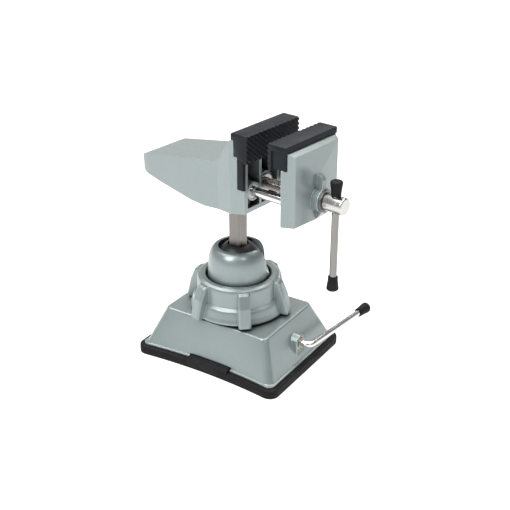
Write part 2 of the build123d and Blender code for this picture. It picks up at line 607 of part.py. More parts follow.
def make_moving_jaw():
    body = moving_jaw_block()
    body -= box(60, RABBET_X, -40, 40, RABBET_Z, 240)
    # upright web above and below the hub, and the round seat of the hub washer
    web = side_plate([
        (85, JAW_BOTTOM + 1.5), (KEEL_X + 1, JAW_BOTTOM + 1.5), (RIB_X, SCREW_Z - 10),
        (RIB_X, APEX_Z - 3), (RIB_X - 2, APEX_Z + 0.5), (85, APEX_Z + 2)], -RIB_HALF, RIB_HALF)
    body += web
    seat = rod_x(HUB_SEAT_RADIUS, JAW_BACK + 8, HUB_SEAT_X, 0, SCREW_Z)
    body += fillet(seat.edges().sort_by(Axis.X)[-1], 0.8)
    # lightening pockets in the hidden inner face
    for y in (-LEG_SCREW_Y, LEG_SCREW_Y):
        for z0, z1 in ((164.5, 172.5), (188.5, 204.0)):
            pocket = box(JAW_BACK - 1, JAW_BACK + 6, y - 5.0, y + 5.0, z0, z1)
            body -= fillet(pocket.edges().filter_by(Axis.X), 2.0)
    # bores: guide rods, their grub screws, the screw and the pad screws
    for y in (-ROD_SPREAD, ROD_SPREAD):
        body -= rod_x(ROD_RADIUS + 0.01, JAW_BACK - 1, ROD_END, y, SCREW_Z)
        body -= rod_z(GRUB_RADIUS, 155, SCREW_Z, ROD_GRUB_X, y)
    body -= rod_x(SCREW_NECK + RUNNING_FIT, JAW_BACK - 1, 110, 0, SCREW_Z)
    for y in (-LEG_SCREW_Y, LEG_SCREW_Y):
        body -= rod_z(LEG_SCREW_RADIUS, 200, RABBET_Z + 1, LEG_SCREW_X, y)
    return in_head(body)


def make_moving_jaw_pad():
    outline = [
        (MOVING_GRIP_X + 0.8, PAD_TOP - 0.2), (MOVING_GRIP_X, PAD_TOP - 1.0),
        (MOVING_GRIP_X, 209.0), (63.6, 207.4), (66.4, 207.4), (66.4, 209.4), (75.2, 209.4),
        (75.2, RABBET_Z + 0.1), (79.9, RABBET_Z + 0.1), (79.9, JAW_TOP + 0.1),
        (80.4, JAW_TOP + 0.1), (80.4, PAD_TOP - 1.0), (79.6, PAD_TOP - 0.2),
    ]
    half = JAW_LENGTH / 2
    pad = side_plate(outline, -half, half)
    # the ends are cut back behind the gripping lip
    for side in (-1, 1):
        y0, y1 = sorted((side * (half - 1.2), side * (half + 1)))
        pad -= box(65.8, 90, y0, y1, 200, 224.6)
    for y in (-LEG_SCREW_Y, LEG_SCREW_Y):
        pad -= rod_z(LEG_SCREW_RADIUS, 205, RABBET_Z + 9, LEG_SCREW_X, y)
    return in_head(pad)


def make_moving_pad_screws():
    head_height = 1.6
    screw = socket_screw(LEG_SCREW_HEAD, head_height, LEG_SCREW_RADIUS - 0.02, 15.5, 1.8)
    screw = Pos(LEG_SCREW_X, 0, 203.9 - head_height) * Rot(0, 90, 0) * screw
    return [in_head(Pos(0, y, 0) * screw) for y in (-LEG_SCREW_Y, LEG_SCREW_Y)]


def make_guide_rods():
    rod = rod_x(ROD_RADIUS, -22, ROD_END - 0.2, 0, SCREW_Z)
    rod = fillet(rod.edges().sort_by(Axis.X)[0], 0.8)
    rod -= rod_z(GRUB_RADIUS, SCREW_Z - 6, SCREW_Z - ROD_RADIUS + 0.8, ROD_GRUB_X, 0)
    return [in_head(Pos(0, y, 0) * rod) for y in (-ROD_SPREAD, ROD_SPREAD)]


def make_rod_grub_screws():
    screws = []
    for y in (-ROD_SPREAD, ROD_SPREAD):
        grub = rod_z(GRUB_RADIUS - 0.02, 162.0, SCREW_Z - ROD_RADIUS + 0.7, ROD_GRUB_X, y)
        grub -= Pos(ROD_GRUB_X, y, 161.8) * extrude(RegularPolygon(1.0, 6), amount=2.5)
        screws.append(in_head(grub))
    return screws


# ---------------------------------------------------------------- screw and tommy bar
def make_hub_washer():
    washer = rod_x(9.6, WASHER_X, HUB_START - 0.25, 0, SCREW_Z)
    return in_head(washer - rod_x(SCREW_NECK + 0.3, 90, 100, 0, SCREW_Z))


def make_lead_screw():
    screw = rod_x(SCREW_RADIUS, -16, JAW_BACK - 1.6, 0, SCREW_Z)
    screw = fillet(screw.edges().sort_by(Axis.X)[0], 1.0)
    screw += rod_x(SCREW_NECK, JAW_BACK - 2, HUB_START + 6, 0, SCREW_Z)
    return in_head(screw - rod_y(HUB_PIN_RADIUS, -9, 9, HUB_PIN_X, SCREW_Z))


def make_thrust_collar():
    """Ring on the inner side of the moving jaw that pulls it open."""
    ring = rod_x(6.6, JAW_BACK - 1.6, JAW_BACK - 0.3, 0, SCREW_Z)
    return in_head(ring - rod_x(SCREW_NECK + 0.01, 60, 90, 0, SCREW_Z))


def make_screw_hub():
    hub = rod_x(HUB_RADIUS, HUB_START, HUB_END, 0, SCREW_Z)
    hub = fillet(hub.edges().sort_by(Axis.X)[-1], 1.6)
    hub = fillet(hub.edges().sort_by(Axis.X)[0], 0.6)
    hub -= rod_x(SCREW_NECK + 0.01, HUB_START - 1, HUB_START + 6.1, 0, SCREW_Z)
    hub -= rod_y(HUB_PIN_RADIUS, -9, 9, HUB_PIN_X, SCREW_Z)
    return in_head(hub - rod_z(BAR_RADIUS + RUNNING_FIT, 160, 200, BAR_X))


def make_hub_pin():
    return in_head(rod_y(HUB_PIN_RADIUS - 0.01, -7.2, 7.2, HUB_PIN_X, SCREW_Z))


def make_tommy_bar():
    inside = BAR_GRIP_LENGTH - GRIP_END
    return in_head(rod_z(BAR_RADIUS, LOWER_GRIP_HIGH - inside, UPPER_GRIP_LOW + inside, BAR_X))


def make_upper_bar_grip():
    cap = grip(BAR_GRIP_LENGTH, BAR_RADIUS + 0.01)
    return in_head(Pos(BAR_X, 0, UPPER_GRIP_LOW) * cap)


def make_lower_bar_grip():
    cap = grip(BAR_GRIP_LENGTH, BAR_RADIUS + 0.01)
    return in_head(Pos(BAR_X, 0, LOWER_GRIP_HIGH) * Rot(180, 0, 0) * cap)


# ---------------------------------------------------------------- writing the parts
NODES = {
    "base_housing": make_base_housing,
    "suction_pad": make_suction_pad,
    "shaft_bush": make_shaft_bush,
    "ball_seat": make_ball_seat,
    "cam_shaft": make_cam_shaft,
    "shaft_clip": make_shaft_clip,
    "cam_eccentric": make_cam_eccentric,
    "cam_pin": make_cam_pin,
    "clamp_lever": make_clamp_lever,
    "lever_grip": make_lever_grip,
    "lift_plate": make_lift_plate,
    "lift_yoke": make_lift_yoke,
    "yoke_screws": make_yoke_screws,
    "thrust_washer": make_thrust_washer,
    "locking_collar": make_locking_collar,
    "swivel_dome": make_swivel_dome,
    "ball_liner_halves": make_ball_liner,
    "swivel_ball": make_swivel_ball,
    "hex_post": make_hex_post,
    "post_pin": make_post_pin,
    "fixed_jaw": make_fixed_jaw,
    "fixed_jaw_pad": make_fixed_jaw_pad,
    "fixed_pad_screws": make_fixed_pad_screws,
    "rod_bushes": make_rod_bushes,
    "screw_nut": make_screw_nut,
    "bush_grub_screws": make_bush_grub_screws,
    "moving_jaw": make_moving_jaw,
    "moving_jaw_pad": make_moving_jaw_pad,
    "moving_pad_screws": make_moving_pad_screws,
    "guide_rods": make_guide_rods,
    "rod_grub_screws": make_rod_grub_screws,
    "hub_washer": make_hub_washer,
    "lead_screw": make_lead_screw,
    "thrust_collar": make_thrust_collar,
    "screw_hub": make_screw_hub,
    "hub_pin": make_hub_pin,
    "tommy_bar": make_tommy_bar,
    "upper_bar_grip": make_upper_bar_grip,
    "lower_bar_grip": make_lower_bar_grip,
}


def solids_of(made):
    """Every solid in a shape or in a list of shapes."""
    if isinstance(made, list):
        return [solid for shape in made for solid in solids_of(shape)]
    return list(made.solids())


os.makedirs("parts", exist_ok=True)
for name, make in NODES.items():
    solids = solids_of(make())
    node = solids[0] if len(solids) == 1 else Compound(children=solids)
    node.label = name
    export_step(node, f"parts/{name}.step")
    print(name, len(solids), round(node.volume))
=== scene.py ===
import json
import math

import bpy
from mathutils import Matrix, Vector


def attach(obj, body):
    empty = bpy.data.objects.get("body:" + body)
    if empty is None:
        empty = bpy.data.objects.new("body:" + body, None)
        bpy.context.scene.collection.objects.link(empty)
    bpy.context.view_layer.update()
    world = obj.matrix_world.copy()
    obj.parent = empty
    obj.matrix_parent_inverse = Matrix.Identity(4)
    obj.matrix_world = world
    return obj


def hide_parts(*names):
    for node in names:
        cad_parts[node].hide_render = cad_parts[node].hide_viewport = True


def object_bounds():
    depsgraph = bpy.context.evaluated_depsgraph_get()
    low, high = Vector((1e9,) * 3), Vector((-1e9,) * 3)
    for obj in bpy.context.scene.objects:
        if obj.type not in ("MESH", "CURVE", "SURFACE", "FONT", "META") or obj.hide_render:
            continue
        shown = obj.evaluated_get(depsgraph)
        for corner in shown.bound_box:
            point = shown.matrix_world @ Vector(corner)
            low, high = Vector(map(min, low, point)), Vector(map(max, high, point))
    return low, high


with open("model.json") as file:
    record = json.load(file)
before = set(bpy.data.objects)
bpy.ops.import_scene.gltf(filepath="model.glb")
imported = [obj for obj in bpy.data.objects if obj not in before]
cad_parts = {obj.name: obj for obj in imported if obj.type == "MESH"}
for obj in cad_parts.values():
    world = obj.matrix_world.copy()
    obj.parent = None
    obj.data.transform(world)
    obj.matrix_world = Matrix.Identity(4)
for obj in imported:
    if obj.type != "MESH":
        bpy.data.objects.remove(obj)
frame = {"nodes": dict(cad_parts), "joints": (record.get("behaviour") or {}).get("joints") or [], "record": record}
cad_low, cad_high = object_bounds()

# Everything is in metres in the frame of the CAD part. Shapes are written in millimetres and
# scaled by MM when their mesh is made. "Head axes" are the part's axes turned about Z so that
# X runs along the lead screw.
MM = 0.001
joints = {joint["name"]: joint for joint in frame["joints"]}
screw_direction = Vector(joints["jaw_slide"]["axis"])
HEAD_TURN = math.atan2(screw_direction.y, screw_direction.x)
HEAD_AXES = Matrix.Rotation(HEAD_TURN, 4, "Z")
BASE_AXES = Matrix.Identity(4)
body_of = {node: body for body, nodes in frame["record"]["behaviour"]["bodies"].items() for node in nodes}
slot_of = {part["node"]: part["material_slot"] for part in frame["record"]["subparts"]}

# camera, at the angle that shows the lever side and the long side of the base
CAMERA_AZIMUTH = 32.89
CAMERA_ELEVATION = 26.51
CAMERA_DISTANCE = 0.87828
CAMERA_AIM = Vector((12.86, 8.31, 97.83)) * MM
CAMERA_LENS = 67.42
CAMERA_SENSOR = 36

LEVER_ELBOW_X = 78.0                # where the clamp lever bends, in millimetres


# ---------------------------------------------------------------- reading the frame
def box_mm(node, axes):
    """Lowest and highest corner of a CAD node in millimetres, along the given axes."""
    back = axes.inverted()
    points = [back @ vertex.co / MM for vertex in frame["nodes"][node].data.vertices]
    low = [min(point[i] for point in points) for i in range(3)]
    high = [max(point[i] for point in points) for i in range(3)]
    return Vector(low), Vector(high)


# ---------------------------------------------------------------- materials
SHADER_RAYS = 8                             # for rounded edges and for painted shade in corners


class Recipe:
    """A material with a principled shader and a few shorthands for its texture nodes."""

    def __init__(self, name, color, roughness, **sockets):
        self.material = bpy.data.materials.new(name)
        self.material.use_nodes = True
        self.tree = self.material.node_tree
        self.shader = self.tree.nodes["Principled BSDF"]
        self.shader.inputs["Base Color"].default_value = (*color, 1)
        self.shader.inputs["Roughness"].default_value = roughness
        for socket, value in sockets.items():
            self.shader.inputs[socket.replace("_", " ")].default_value = value

    def node(self, kind, inputs=(), **settings):
        """Adds a node, with its settings made and its inputs set or linked."""
        made = self.tree.nodes.new(kind)
        for key, value in settings.items():
            setattr(made, key, value)
        for key, value in dict(inputs).items():
            if isinstance(value, bpy.types.NodeSocket):
                self.tree.links.new(value, made.inputs[key])
            else:
                made.inputs[key].default_value = value
        return made

    def place(self, stretch, turn):
        """Coordinates fixed to the piece, with the pattern stretched along turned axes."""
        source = self.node("ShaderNodeTexCoord").outputs["Object"]
        settings = {"Vector": source, "Rotation": (0, 0, turn), "Scale": stretch}
        return self.node("ShaderNodeMapping", settings, vector_type="TEXTURE").outputs[0]

    def noise(self, scale, detail=3.0, stretch=(1, 1, 1), turn=0.0):
        """Noise whose features are about 1 / scale metres wide."""
        where = self.place(stretch, turn)
        settings = {"Vector": where, "Scale": scale, "Detail": detail}
        return self.node("ShaderNodeTexNoise", settings).outputs["Fac"]

    def spread(self, value, low, high, from_low=0.3, from_high=0.7):
        """Maps a texture value to a range."""
        settings = {"Value": value, "From Min": from_low, "From Max": from_high,
                    "To Min": low, "To Max": high}
        return self.node("ShaderNodeMapRange", settings).outputs[0]

    def mix(self, share, first, second):
        """Blends two colours by a share from 0 to 1."""
        made = self.node("ShaderNodeMix", data_type="RGBA")
        for index, value in ((0, share), (6, first), (7, second)):
            if isinstance(value, bpy.types.NodeSocket):
                self.tree.links.new(value, made.inputs[index])
            else:
                made.inputs[index].default_value = value if index == 0 else (*value, 1)
        return made.outputs[2]

    def math(self, operation, first, second):
        """Arithmetic on two texture values."""
        return self.node("ShaderNodeMath", {0: first, 1: second}, operation=operation).outputs[0]

    def rounded(self, radius_mm):
        """Normals as if every sharp edge had this radius."""
        return self.node("ShaderNodeBevel", {"Radius": radius_mm * MM}, samples=SHADER_RAYS).outputs[0]

    def bump(self, height, distance_mm, strength, normal=None):
        """Normals bent by a height texture, on top of other normals if given."""
        settings = {"Height": height, "Distance": distance_mm * MM, "Strength": strength}
        if normal is not None:
            settings["Normal"] = normal
        return self.node("ShaderNodeBump", settings).outputs[0]

    def edges(self, rounded, low, high):
        """1 on sharp edges and 0 on flat faces, from the rounded normals."""
        true = self.node("ShaderNodeNewGeometry").outputs["Normal"]
        same = self.node("ShaderNodeVectorMath", {0: rounded, 1: true}, operation="DOT_PRODUCT")
        return self.spread(same.outputs["Value"], 1.0, 0.0, low, high)

    def crevices(self, reach_mm):
        """1 in the open and 0 deep in a corner."""
        settings = {"Distance": reach_mm * MM}
        return self.node("ShaderNodeAmbientOcclusion", settings, samples=SHADER_RAYS).outputs["AO"]

    def use(self, **sockets):
        """Links textures to the shader, and gives the finished material."""
        for socket, value in sockets.items():
            self.tree.links.new(value, self.shader.inputs[socket.replace("_", " ")])
        return self.material


PAINT = (0.214, 0.256, 0.256)
PAINT_FLAKE = (0.33, 0.385, 0.385)
PAINT_SHADE = (0.014, 0.017, 0.018)          # painted shade, darkening corners and the base top under the head and collar
PAINT_EDGE_WEAR_AND_HIGHLIGHT = (0.46, 0.53, 0.52)             # painted highlight along sharp edges, with paint thinned by wear there too
RUBBER = (0.005, 0.005, 0.006)
RUBBER_DUSTY = (0.015, 0.016, 0.017)
JAW_PAD = (0.005, 0.007, 0.010)
JAW_PAD_PALE = (0.010, 0.013, 0.017)
JAW_PAD_SCUFF = (0.05, 0.055, 0.06)
BLACK_NYLON = (0.012, 0.012, 0.014)
BLACK_NYLON_PALE = (0.022, 0.022, 0.026)
NYLON = (0.58, 0.56, 0.49)
NYLON_PALE = (0.68, 0.66, 0.59)

# stretch of machining marks: drawn along an axis, or turned round it
DRAWN_X = (60, 1, 1)
TURNED_X = (1, 40, 40)
DRAWN_Z = (1, 1, 60)
TURNED_Z = (30, 30, 1)
TURNED_Y = (1, 30, 1)
NO_STRETCH = (1, 1, 1)
MARK_TINT = 0.06                            # how much darker machining marks are


def satin_paint():
    """Silver grey enamel over a die casting: fine metal flake, orange peel, soft edges, painted shade in corners
    and under the head, and a painted highlight with some wear along sharp edges.
    """
    recipe = Recipe("satin_paint", PAINT, 0.34, Metallic=0.55, Coat_Weight=0.3, Coat_Roughness=0.22)
    clouds = recipe.noise(24, 3)
    flake = recipe.noise(2600, 1)
    color = recipe.mix(recipe.spread(clouds, 0.0, 1.0), [c * 0.965 for c in PAINT], PAINT)
    color = recipe.mix(recipe.spread(flake, 0.0, 0.35), color, PAINT_FLAKE)
    # painted shade: darker wherever ambient occlusion reaches within 15 mm, in corners and on the base top under
    # the head
    shade = recipe.spread(recipe.crevices(15.0), 1.0, 0.0, 0.1, 0.62)
    color = recipe.mix(shade, color, PAINT_SHADE)
    rounded = recipe.rounded(0.7)
    # painted highlight with some wear: sharp edges brightened in cloudy patches
    wear_and_highlight = recipe.math("MULTIPLY", recipe.edges(rounded, 0.86, 0.995), recipe.spread(clouds, 0.35, 0.9))
    color = recipe.mix(wear_and_highlight, color, PAINT_EDGE_WEAR_AND_HIGHLIGHT)
    peel = recipe.noise(420, 2)
    grain = recipe.noise(1500, 2)
    normal = recipe.bump(peel, 0.05, 0.35, rounded)
    normal = recipe.bump(grain, 0.02, 0.3, normal)
    rough = recipe.spread(recipe.noise(160, 4), 0.3, 0.38)
    return recipe.use(Base_Color=color, Roughness=rough, Normal=normal)


def rubber():
    """Matt black moulded rubber with a fine grain and a little dust."""
    recipe = Recipe("black_rubber", (0.008, 0.008, 0.009), 0.5, Specular_IOR_Level=0.16)
    dust = recipe.spread(recipe.noise(70, 5), 0.0, 0.5, 0.45, 0.8)
    color = recipe.mix(dust, RUBBER, RUBBER_DUSTY)
    rounded = recipe.rounded(0.4)
    grain = recipe.noise(1800, 3)
    pores = recipe.noise(500, 2)
    normal = recipe.bump(grain, 0.03, 0.5, recipe.bump(pores, 0.04, 0.3, rounded))
    rough = recipe.spread(recipe.noise(220, 3), 0.5, 0.68)
    return recipe.use(Base_Color=color, Roughness=rough, Normal=normal)


def pad_plastic():
    """Hard black plastic of the jaw pads, scuffed along its edges."""
    recipe = Recipe("pad_plastic", (0.010, 0.012, 0.015), 0.36, Specular_IOR_Level=0.15)
    rounded = recipe.rounded(0.35)
    scuff = recipe.math("MULTIPLY", recipe.edges(rounded, 0.8, 0.99), recipe.noise(260, 4))
    color = recipe.mix(recipe.spread(recipe.noise(45, 4), 0, 1), JAW_PAD, JAW_PAD_PALE)
    color = recipe.mix(scuff, color, JAW_PAD_SCUFF)
    spark = recipe.noise(1300, 2)
    normal = recipe.bump(spark, 0.03, 0.45, rounded)
    rough = recipe.spread(recipe.noise(120, 4), 0.36, 0.5)
    return recipe.use(Base_Color=color, Roughness=rough, Normal=normal)


def black_nylon():
    """Smooth black nylon with polish marks where it turns."""
    recipe = Recipe("black_nylon", (0.014, 0.014, 0.016), 0.35)
    color = recipe.mix(recipe.spread(recipe.noise(90, 3), 0, 1), BLACK_NYLON, BLACK_NYLON_PALE)
    rings = recipe.noise(300, 3, stretch=TURNED_Z)
    normal = recipe.bump(rings, 0.02, 0.3, recipe.rounded(0.3))
    return recipe.use(Base_Color=color, Roughness=recipe.spread(rings, 0.26, 0.42), Normal=normal)


def natural_nylon():
    """Cream nylon that lets a little light in."""
    recipe = Recipe("natural_nylon", (0.62, 0.60, 0.53), 0.4,
                    Subsurface_Weight=0.15, Subsurface_Scale=0.002)
    color = recipe.mix(recipe.spread(recipe.noise(120, 3), 0, 1), NYLON, NYLON_PALE)
    normal = recipe.bump(recipe.noise(900, 2), 0.03, 0.3, recipe.rounded(0.3))
    rough = recipe.spread(recipe.noise(200, 3), 0.34, 0.5)
    return recipe.use(Base_Color=color, Roughness=rough, Normal=normal)


def metal(name, color, roughness, lines, stretch, turn=0, edge_mm=0.25, depth=0.25):
    """Bare or plated metal. roughness is a lowest and a highest value, lines the scale of the
    machining marks, stretched along the part, and depth how strongly they show."""
    smooth, dull = roughness
    recipe = Recipe(name, color, smooth, Metallic=1.0)
    marks = recipe.noise(lines, 4, stretch=stretch, turn=turn)
    stains = recipe.noise(60, 4)
    darker = [c * (1 - MARK_TINT * 2.5) for c in color]
    shade = recipe.mix(recipe.spread(stains, 0, 1), darker, color)
    shade = recipe.mix(recipe.spread(marks, 0, 1), [c * (1 - MARK_TINT) for c in color], shade)
    # painted shade: darker in crevices within 2.5 mm, by ambient occlusion
    crevice_shade = recipe.spread(recipe.crevices(2.5), 0.6, 0.0, 0.2, 0.8)
    shade = recipe.mix(crevice_shade, shade, [c * 0.35 for c in color])
    normal = recipe.bump(marks, 0.01, depth, recipe.rounded(edge_mm))
    rough = recipe.spread(recipe.math("ADD", marks, stains), smooth, dull, 0.7, 1.3)
    return recipe.use(Base_Color=shade, Roughness=rough, Normal=normal)


def make_materials():
    """One material for each record slot, and finer ones for single nodes."""
    by_slot = {
        "castings": satin_paint(),
        "rubber": rubber(),
        "jaw_pads": pad_plastic(),
        "black_nylon": black_nylon(),
        "nylon": natural_nylon(),
        # chrome here and for the bar, hub and lever below differs in brightness from part to part: painted light
        # and shade, set to how bright each part looks
        "chrome": metal("chrome_rod", (0.85, 0.84, 0.82), (0.07, 0.17), 700, DRAWN_X, HEAD_TURN,
                        depth=0.12),
        "steel": metal("turned_steel", (0.36, 0.34, 0.32), (0.22, 0.36), 900, TURNED_X, HEAD_TURN),
        "dark_steel": metal("black_oxide", (0.09, 0.09, 0.10), (0.34, 0.5), 1200, NO_STRETCH),
        "zinc_steel": metal("zinc_plate", (0.55, 0.56, 0.57), (0.26, 0.42), 800, NO_STRETCH),
        "bearing_steel": metal("polished_steel", (0.42, 0.41, 0.39), (0.16, 0.3), 900, TURNED_X,
                               HEAD_TURN),
    }
    by_node = {
        # the hex post's warm tint is a painted reflection of warm surroundings
        "hex_post": metal("drawn_steel", (0.225, 0.212, 0.2), (0.26, 0.4), 500, DRAWN_Z, 0, 0.5, 0.4),
        # the tommy bar's chrome is darkened into painted shade
        "tommy_bar": metal("chrome_bar", (0.25, 0.245, 0.235), (0.08, 0.18), 700, DRAWN_Z, depth=0.12),
        "screw_hub": metal("chrome_hub", (0.57, 0.56, 0.54), (0.16, 0.3), 800, TURNED_X, HEAD_TURN, 0.5),
        "hub_washer": metal("washer_steel", (0.22, 0.22, 0.22), (0.3, 0.45), 900, TURNED_X, HEAD_TURN),
        "clamp_lever": metal("chrome_lever", (0.74, 0.73, 0.71), (0.16, 0.3), 500, TURNED_Y, depth=0.12),
    }
    return by_slot, by_node


by_slot, by_node = make_materials()


def material_for(node):
    """A node's own material, or else that of its slot."""
    return by_node.get(node, by_slot[slot_of[node]])


# ---------------------------------------------------------------- mesh helpers
def add_piece(name, points, faces, axes, node, angle=35):
    """Makes a mesh from millimetre points, and lets it stand for a CAD node."""
    mesh = bpy.data.meshes.new(name)
    mesh.from_pydata([axes @ (Vector(point) * MM) for point in points], [], faces)
    mesh.validate()
    mesh.polygons.foreach_set("use_smooth", [True] * len(mesh.polygons))
    mesh.set_sharp_from_angle(angle=math.radians(angle))
    piece = bpy.data.objects.new(name, mesh)
    bpy.context.scene.collection.objects.link(piece)
    mesh.materials.append(material_for(node))
    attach(piece, body_of[node])
    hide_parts(node)
    return piece


class Shell:
    """Points and faces of one or more closed skins."""

    def __init__(self):
        self.points = []
        self.faces = []

    def rings(self, rings):
        """Joins rings of equal length side by side, and closes the two ends with a face."""
        start = len(self.points)
        size = len(rings[0])
        for ring in rings:
            self.points.extend(ring)
        last = len(rings) - 1
        for i in range(last):
            a = start + i * size
            b = a + size
            for j in range(size):
                k = (j + 1) % size
                self.faces.append((a + j, a + k, b + k, b + j))
        self.faces.append(tuple(start + j for j in reversed(range(size))))
        self.faces.append(tuple(start + last * size + j for j in range(size)))

    def lathe(self, profile, place, segments=64):
        """Turns a (radius, height) profile round its own Z axis. Its two ends are flat faces."""
        rings = []
        for radius, height in profile:
            ring = []
            for j in range(segments):
                angle = 2 * math.pi * j / segments
                point = Vector((radius * math.cos(angle), radius * math.sin(angle), height))
                ring.append(place @ point)
            rings.append(ring)
        self.rings(rings)

    def block(self, low, high, edge=0.5):
        """Box with rounded upright edges and bevelled top and bottom."""
        rings = []
        for inset, z in ((edge, low[2]), (0, low[2] + edge), (0, high[2] - edge), (edge, high[2])):
            outline = [(low[0] + inset, low[1] + inset), (high[0] - inset, low[1] + inset),
                       (high[0] - inset, high[1] - inset), (low[0] + inset, high[1] - inset)]
            rings.append([(x, y, z) for x, y in rounded_outline(outline, edge, 3)])
        self.rings(rings)


def rounded_outline(points, radius, steps):
    """Polygon with every corner replaced by an arc of about this radius."""
    result = []
    count = len(points)
    for i in range(count):
        corner = Vector(points[i])
        before = Vector(points[i - 1]) - corner
        after = Vector(points[(i + 1) % count]) - corner
        reach = min(radius, before.length * 0.45, after.length * 0.45)
        start = corner + before.normalized() * reach
        end = corner + after.normalized() * reach
        for step in range(steps + 1):
            t = step / steps
            result.append(tuple(start * (1 - t) ** 2 + corner * 2 * t * (1 - t) + end * t ** 2))
    return result


def inset_outline(points, distance):
    """Moves every point of a counter-clockwise outline inward."""
    result = []
    count = len(points)
    for i in range(count):
        before = Vector(points[i]) - Vector(points[i - 1])
        after = Vector(points[(i + 1) % count]) - Vector(points[i])
        along = before.normalized() + after.normalized()
        inward = Vector((-along.y, along.x)).normalized()
        result.append(tuple(Vector(points[i]) + inward * distance))
    return result


# ---------------------------------------------------------------- serrated jaw pads
RIDGE_ANGLE = math.radians(38)      # slope of the ridges on the gripping face
RIDGE_PITCH = 3.3
RIDGE_DEPTH = 1.35
CROSS_PITCH = 2.4                   # finer cuts across the ridges
CROSS_DEPTH = 0.55
TOOTH_STEP = 0.3                    # spacing of the mesh on the gripping face
END_ROUND = 0.6                     # rounding at both ends of a pad, and a facet in it
END_FACET = 0.18
TOP_EDGE = 0.35                     # bevel above the teeth


def groove(distance, pitch, depth):
    """Depth of a row of V cuts at a distance across them."""
    share = abs(2 * (distance / pitch % 1) - 1)
    return depth * min(1.0, max(0.0, 1.12 - share * 1.3))


def tooth_depth(y, z):
    """How far the gripping face is cut back at a place on it."""
    across = y * math.sin(RIDGE_ANGLE) + z * math.cos(RIDGE_ANGLE)
    along = y * math.cos(RIDGE_ANGLE) - z * math.sin(RIDGE_ANGLE)
    return max(groove(across, RIDGE_PITCH, RIDGE_DEPTH), groove(along, CROSS_PITCH, CROSS_DEPTH))


def toothed_bar(shell, back, face_x, z_low, z_high, half, toward):
    """Bar along Y. back is its (x, z) outline behind the toothed face, from the face's lower
    end round to its upper end. toward is 1 for a face that looks along +X, else -1."""
    rows = int((z_high - z_low) / TOOTH_STEP)
    count = int(2 * half / TOOTH_STEP)
    stations = [(-half, END_ROUND), (-half + END_FACET, END_FACET)]
    flat = 2 * half - 2 * END_ROUND
    stations += [(-half + END_ROUND + flat * i / count, 0) for i in range(count + 1)]
    stations += [(half - END_FACET, END_FACET), (half, END_ROUND)]
    plain = [(x * toward, z) for x, z in back + [(face_x, z_high), (face_x, z_low)]]
    rings = []
    for y, inset in stations:
        outline = [(x * toward, z) for x, z in inset_outline(plain, -inset)][:len(back)]
        for i in range(rows + 1):
            z = z_high + (z_low - z_high) * i / rows
            outline.append((face_x - toward * (tooth_depth(y, z) + inset), z))
        rings.append([(x, y, z) for x, z in outline])
    if toward > 0:
        rings.reverse()
    shell.rings(rings)


def make_fixed_pad():
    """Pad over the fixed jaw: a hook behind, a toothed lip in front and two legs at the sides."""
    low, high = box_mm("fixed_jaw_pad", HEAD_AXES)
    jaw_high = box_mm("fixed_jaw", HEAD_AXES)[1]
    lip_low = 206.2                 # bottom of the gripping lip
    lip_back = jaw_high.x - 0.5     # the lip hangs over the front of the casting
    wall = 29.3                     # pad against the casting's upper ledge
    ledge = 210.3
    shelf = 208.1                   # underside of the pad behind the lip
    hook = low.x + 3.0              # hook over the back of the casting
    hook_low = jaw_high.z + 0.1
    corner = 1.1
    lip_edge = high.x - 1.9         # the teeth start in front of this line
    back = [
        (low.x + 0.3, high.z - 0.5), (low.x, high.z - corner), (low.x, hook_low + 0.3),
        (low.x + 0.3, hook_low), (hook, hook_low), (hook, ledge), (wall, ledge), (wall, shelf),
        (lip_back, shelf), (lip_back, lip_low + 0.4), (lip_back + 0.4, lip_low), (lip_edge, lip_low),
    ]
    back.reverse()
    back += [(low.x + corner, high.z), (high.x - 2.4, high.z), (lip_edge, high.z)]
    shell = Shell()
    toothed_bar(shell, back, high.x, lip_low + 0.5, high.z - TOP_EDGE, high.y, 1)
    leg_wide = 3.7
    leg_front = 36.0
    for y0 in (-high.y, high.y - leg_wide):
        shell.block((wall, y0, low.z), (leg_front, y0 + leg_wide, shelf + 0.3))
    return add_piece("serrated_fixed_pad", shell.points, shell.faces, HEAD_AXES, "fixed_jaw_pad")


def make_moving_pad():
    """Pad over the moving jaw, with a toothed lip that faces the fixed one."""
    low, high = box_mm("moving_jaw_pad", HEAD_AXES)
    jaw_high = box_mm("moving_jaw", HEAD_AXES)[1]
    face_low = low.z + 0.8
    slab_low = jaw_high.z + 0.1     # underside of the slab that lies over the casting
    lip = 4.5                       # thickness of the toothed lip
    back = [
        (low.x + 1.9, low.z), (low.x + lip, low.z), (low.x + lip, slab_low + 0.3),
        (high.x - 0.3, slab_low + 0.3), (high.x, slab_low + 0.6), (high.x, high.z - 1.1),
        (high.x - 0.3, high.z - 0.4), (high.x - 1.1, high.z), (low.x + 2.4, high.z),
        (low.x + 1.9, high.z),
    ]
    shell = Shell()
    toothed_bar(shell, back, low.x, face_low, high.z - TOP_EDGE, high.y, -1)
    core_start = low.x + 2.4
    core_end = 79.9                 # the core fills the space under the slab up to here
    core_low = 209.4
    core_half = high.y - 1.2
    shell.block((core_start, -core_half, core_low), (core_end, core_half, slab_low + 1), 0.4)
    leg_end = 66.4                  # leg behind the lip, down to its lower edge
    shell.block((core_start, -core_half, low.z + 0.1), (leg_end, core_half, core_low + 0.6), 0.4)
    return add_piece("serrated_moving_pad", shell.points, shell.faces, HEAD_AXES, "moving_jaw_pad")


# ---------------------------------------------------------------- lead screw
THREAD_DEPTH = 0.9
THREAD_CREST = 0.3                  # share of the pitch that is crest
THREAD_FLANK = 0.2
THREAD_SEGMENTS = 56
THREAD_STATIONS = 12                # mesh rings to a pitch
CRESTS_PER_LEAD = 2                 # the jaw travels two crests with each turn
SCREW_NECK = 4.0                    # radius inside the thrust collar


